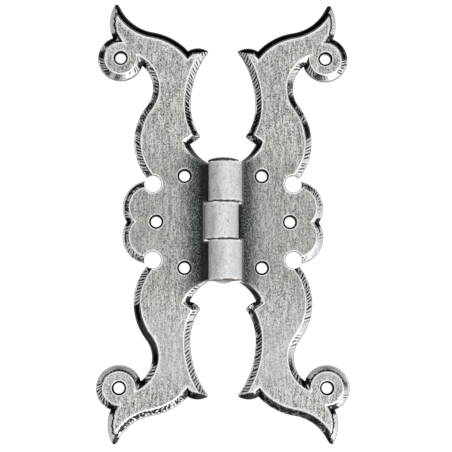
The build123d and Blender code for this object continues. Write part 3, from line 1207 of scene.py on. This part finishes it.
def plate_material():
    """Brushed grey steel: streaks and pits, soot and painted shadow by the barrel, black in the file marks
    and as painted shade on bevels, worn edges.
    """
    material, nodes, shader = new_material("brushed_forged_steel")
    nodes.put(shader, {"Metallic": 1.0})
    place = nodes.place()
    bevel, arris, groove_dirt_and_shade, ridge_and_half_shade = (nodes.mark(name) for name in MARKS)
    ridge_and_half_shade = nodes.ramp(ridge_and_half_shade, 0.05, 0.55)
    streak = nodes.noise(place, (2.1, 0.30, 1.0), 3.0, 0.65)
    hair = nodes.noise(place, (3.9, 1.7, 2.0), 2.0, 0.6)
    speck = nodes.noise(place, (2.5, 1.8, 1.0), 1.0, 0.4)
    grain = nodes.math("ADD", nodes.times(streak, 0.45), nodes.times(hair, 0.55))
    pit = nodes.ramp(speck, 0.59, 0.68)

    soot_and_shade_share, soot_and_shade = barrel_soot_and_shade(nodes, place, hair, speck)
    worn = nodes.times(arris, nodes.ramp(hair, 0.25, 0.5, 0.65, 1.0))
    worn = nodes.times(worn, nodes.math("SUBTRACT", 1.0, nodes.times(soot_and_shade_share, 0.9)))
    colour = nodes.paint(
        brushed_face(nodes, place, grain, pit),
        (nodes.times(soot_and_shade_share, 0.95), soot_and_shade),
        (bevel, filed_bevel(nodes, streak, groove_dirt_and_shade, ridge_and_half_shade)),
        (worn, grey(0.93, 0.004)),
    )
    rough = nodes.ramp(grain, 0.3, 0.7, 0.50, 0.36)
    rough = nodes.math("ADD", rough, nodes.times(soot_and_shade_share, 0.1))
    rough = nodes.math("SUBTRACT", rough, nodes.times(bevel, 0.29))
    rough = nodes.math("ADD", rough, nodes.times(ridge_and_half_shade, 0.45))
    rough = nodes.math("SUBTRACT", rough, nodes.times(worn, 0.05))
    rough = nodes.math("MAXIMUM", rough, 0.13)
    bump = nodes.bump(0.4, 0.00006, nodes.math("SUBTRACT", grain, nodes.times(pit, 0.5)))
    nodes.put(shader, {"Base Color": colour, "Roughness": rough, "Normal": bump})
    return material


def barrel_material():
    """The rolled knuckles: paler and duller than the leaves, mottled, with worn rims and dark bores."""
    material, nodes, shader = new_material("tumbled_barrel_steel")
    place = nodes.place()
    arris, groove_dirt_and_shade = nodes.mark("arris"), nodes.mark("groove_dirt_and_shade")
    grain = nodes.noise(place, (2.4, 1.5, 2.4), 3.0, 0.6)
    cloud = nodes.noise(place, (0.42, 0.2, 0.42), 4.0, 0.6)
    speck = nodes.noise(place, (1.8, 1.4, 1.8), 1.0, 0.4)
    y = nodes.parts(place)[1]
    outer_knuckle = nodes.ramp(nodes.math("ABSOLUTE", y), 0.0057, 0.0061)
    pit = nodes.ramp(speck, 0.67, 0.75)
    rim = nodes.times(arris, nodes.ramp(cloud, 0.42, 0.62, 1.0, 0.45))
    rust_tone = nodes.ramp(grain, 0.4, 0.6)
    rust = nodes.blend(rust_tone, (0.014, 0.011, 0.010, 1.0), (0.11, 0.056, 0.040, 1.0))
    skin = nodes.paint(
        (0.90, 0.895, 0.875, 1.0),
        (outer_knuckle, (0.895, 0.905, 0.92, 1.0)),
        (nodes.ramp(grain, 0.32, 0.68, 0.5, 0.0), grey(0.50)),
        (nodes.ramp(cloud, 0.5, 0.72, 0.0, 0.5), grey(0.42, 0.02)),
        (nodes.times(pit, 0.7), grey(0.08)),
        (rim, grey(0.99, 0.005)),
        (groove_dirt_and_shade, rust),
    )
    bare = nodes.times(rim, nodes.math("SUBTRACT", 1.0, groove_dirt_and_shade))
    metal = nodes.math("SUBTRACT", 0.4, nodes.times(bare, 0.4))
    rough = nodes.ramp(grain, 0.3, 0.7, 0.62, 0.46)
    bump = nodes.bump(0.35, 0.00006, nodes.math("SUBTRACT", grain, nodes.times(pit, 0.6)))
    nodes.put(shader, {"Base Color": skin, "Metallic": metal, "Roughness": rough, "Normal": bump})
    nodes.put(shader, {"Specular IOR Level": 0.2})
    return material


def pin_material():
    """Hammered pin, brown in places, with a worn rim; near-black as painted shade for its upward head, and
    bare grey on the peened foot as painted light for its downward end.
    """
    material, nodes, shader = new_material("dark_pin_steel")
    nodes.put(shader, {"Metallic": 1.0})
    place = nodes.place()
    arris = nodes.mark("arris")
    grain = nodes.noise(place, (1.8, 1.8, 1.8), 4.0, 0.6)
    rust = nodes.noise(place, (0.5, 0.5, 0.5), 3.0)
    # The bare grey peened foot is painted light
    foot = nodes.ramp(nodes.parts(place)[1], -0.0190, -0.0186, 1.0, 0.0)
    bare = nodes.blend(grain, (0.30, 0.27, 0.25, 1.0), (0.66, 0.64, 0.62, 1.0))
    worn = nodes.times(arris, nodes.ramp(grain, 0.35, 0.65, 0.02, 0.3))
    skin = nodes.paint(
        # Near-black all over: painted shade on the upward head
        grey(0.006),
        (nodes.ramp(grain, 0.3, 0.7), grey(0.035)),
        (foot, bare),
        (nodes.ramp(rust, 0.5, 0.75, 0.0, 0.3), (0.09, 0.050, 0.036, 1.0)),
        (worn, grey(0.40)),
    )
    rough = nodes.ramp(grain, 0.3, 0.7, 0.55, 0.38)
    bump = nodes.bump(0.4, 0.00008, grain)
    nodes.put(shader, {"Base Color": skin, "Roughness": rough, "Normal": bump})
    return material


def floor_material():
    """A floor that is white of itself and takes a faint shadow."""
    material, nodes, shader = new_material("pale_floor")
    nodes.put(shader, {"Base Color": grey(0.15), "Roughness": 0.9, "Specular IOR Level": 0.0})
    nodes.put(shader, {"Emission Color": grey(1), "Emission Strength": 0.97})
    return material


def make_floor():
    mesh = bpy.data.meshes.new("floor")
    signs = ((-1, -1), (1, -1), (1, 1), (-1, 1))
    mesh.from_pydata([(FLOOR_REACH * i, FLOOR_REACH * j, 0) for i, j in signs], [], [(0, 1, 2, 3)])
    mesh.materials.append(floor_material())
    ground = new_object("floor", mesh)
    ground.location.z = cad_box[0][2] - FLOOR_DROP
    return ground


def soft_lamp(name, location, size, energy):
    """A square lamp that looks at the middle of the hinge."""
    lamp = bpy.data.lights.new(name, "AREA")
    lamp.energy = energy
    lamp.size = size
    holder = new_object(name, lamp)
    holder.location = location
    holder.rotation_euler = (-Vector(location)).to_track_quat("-Z", "Y").to_euler()
    holder.visible_camera = False


def light_scene():
    """Studio: pale from above, dark low down, except for a broad soft light low on the right front."""
    world = bpy.data.worlds.new("studio")
    bpy.context.scene.world = world
    world.use_nodes = True
    nodes = Nodes(world.node_tree)
    back = world.node_tree.nodes["Background"]
    way = nodes.add("ShaderNodeTexCoord").outputs["Generated"]
    height = nodes.parts(way)[2]
    above = nodes.ramp(height, 0.52, 0.86, 0.0, 1.08)
    side_way = (cos(SIDE_LIGHT_WAY), sin(SIDE_LIGHT_WAY), 0)
    toward = nodes.add("ShaderNodeVectorMath", {0: way, 1: side_way}, operation="DOT_PRODUCT")
    side = nodes.ramp(toward.outputs["Value"], 0.45, 0.85)
    low = nodes.ramp(height, 0.60, 0.86, 1.0, 0.0)
    level = nodes.math("ADD", nodes.times(side, low), nodes.math("ADD", above, 0.015))
    nodes.put(back, {"Color": level, "Strength": 1.0})
    soft_lamp("key", (0.35, -0.42, 0.5), 0.35, 1.3)
    soft_lamp("card", (-0.11, -0.08, 0.06), 0.06, 0.009)


def place_camera():
    """Camera almost straight above, a little towards the bottom and the left of the picture."""
    back = Vector((-sin(CAMERA_TILT_Y), -sin(CAMERA_TILT_X), 0))
    back.z = sqrt(1 - back.length_squared)
    right = Vector((0, 1, 0)).cross(back).normalized()
    up = back.cross(right)
    lens = bpy.data.cameras.new("camera")
    lens.sensor_width = CAMERA_SENSOR
    lens.lens = CAMERA_LENS
    lens.shift_x, lens.shift_y = (shift / PHOTO_PIXELS for shift in SHIFT_PIXELS)
    lens.clip_start = 0.01
    camera = new_object("camera", lens)
    rotation = Matrix((right, up, back)).transposed().to_4x4()
    camera.matrix_world = Matrix.Translation(back * CAMERA_DISTANCE + CAMERA_TARGET) @ rotation
    bpy.context.scene.camera = camera


plate_steel = plate_material()
barrel_steel = barrel_material()
pin_steel = pin_material()

# Node, body, whether it is mirrored, seed, and the hand of its upper and of its lower half; a hand's black
# values are painted shade, high on brows and flanks that face away from the light
leaves = (
    ("left_leaf", "left_leaf_and_pin", True, 1.7, (Hand(1, 1, 0.55), Hand(-1, 0, 1))),
    ("right_leaf", "right_leaf", False, 5.3, (Hand(1, 1, 0.67), Hand(1, 0.55, 0))),
)
for node, body, mirrored, seed, hands in leaves:
    shell = build_leaf(node, mirrored, seed, hands)
    piece = make_piece("worked_" + node, shell, mirrored, [plate_steel, barrel_steel], 38)
    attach(piece, body)
    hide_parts(node)

pin = make_piece("worked_pin", build_pin(), False, [pin_steel], 50)
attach(pin, "left_leaf_and_pin")
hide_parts("hinge_pin")

make_floor()
light_scene()
place_camera()
bpy.context.scene.view_settings.view_transform = "Standard"
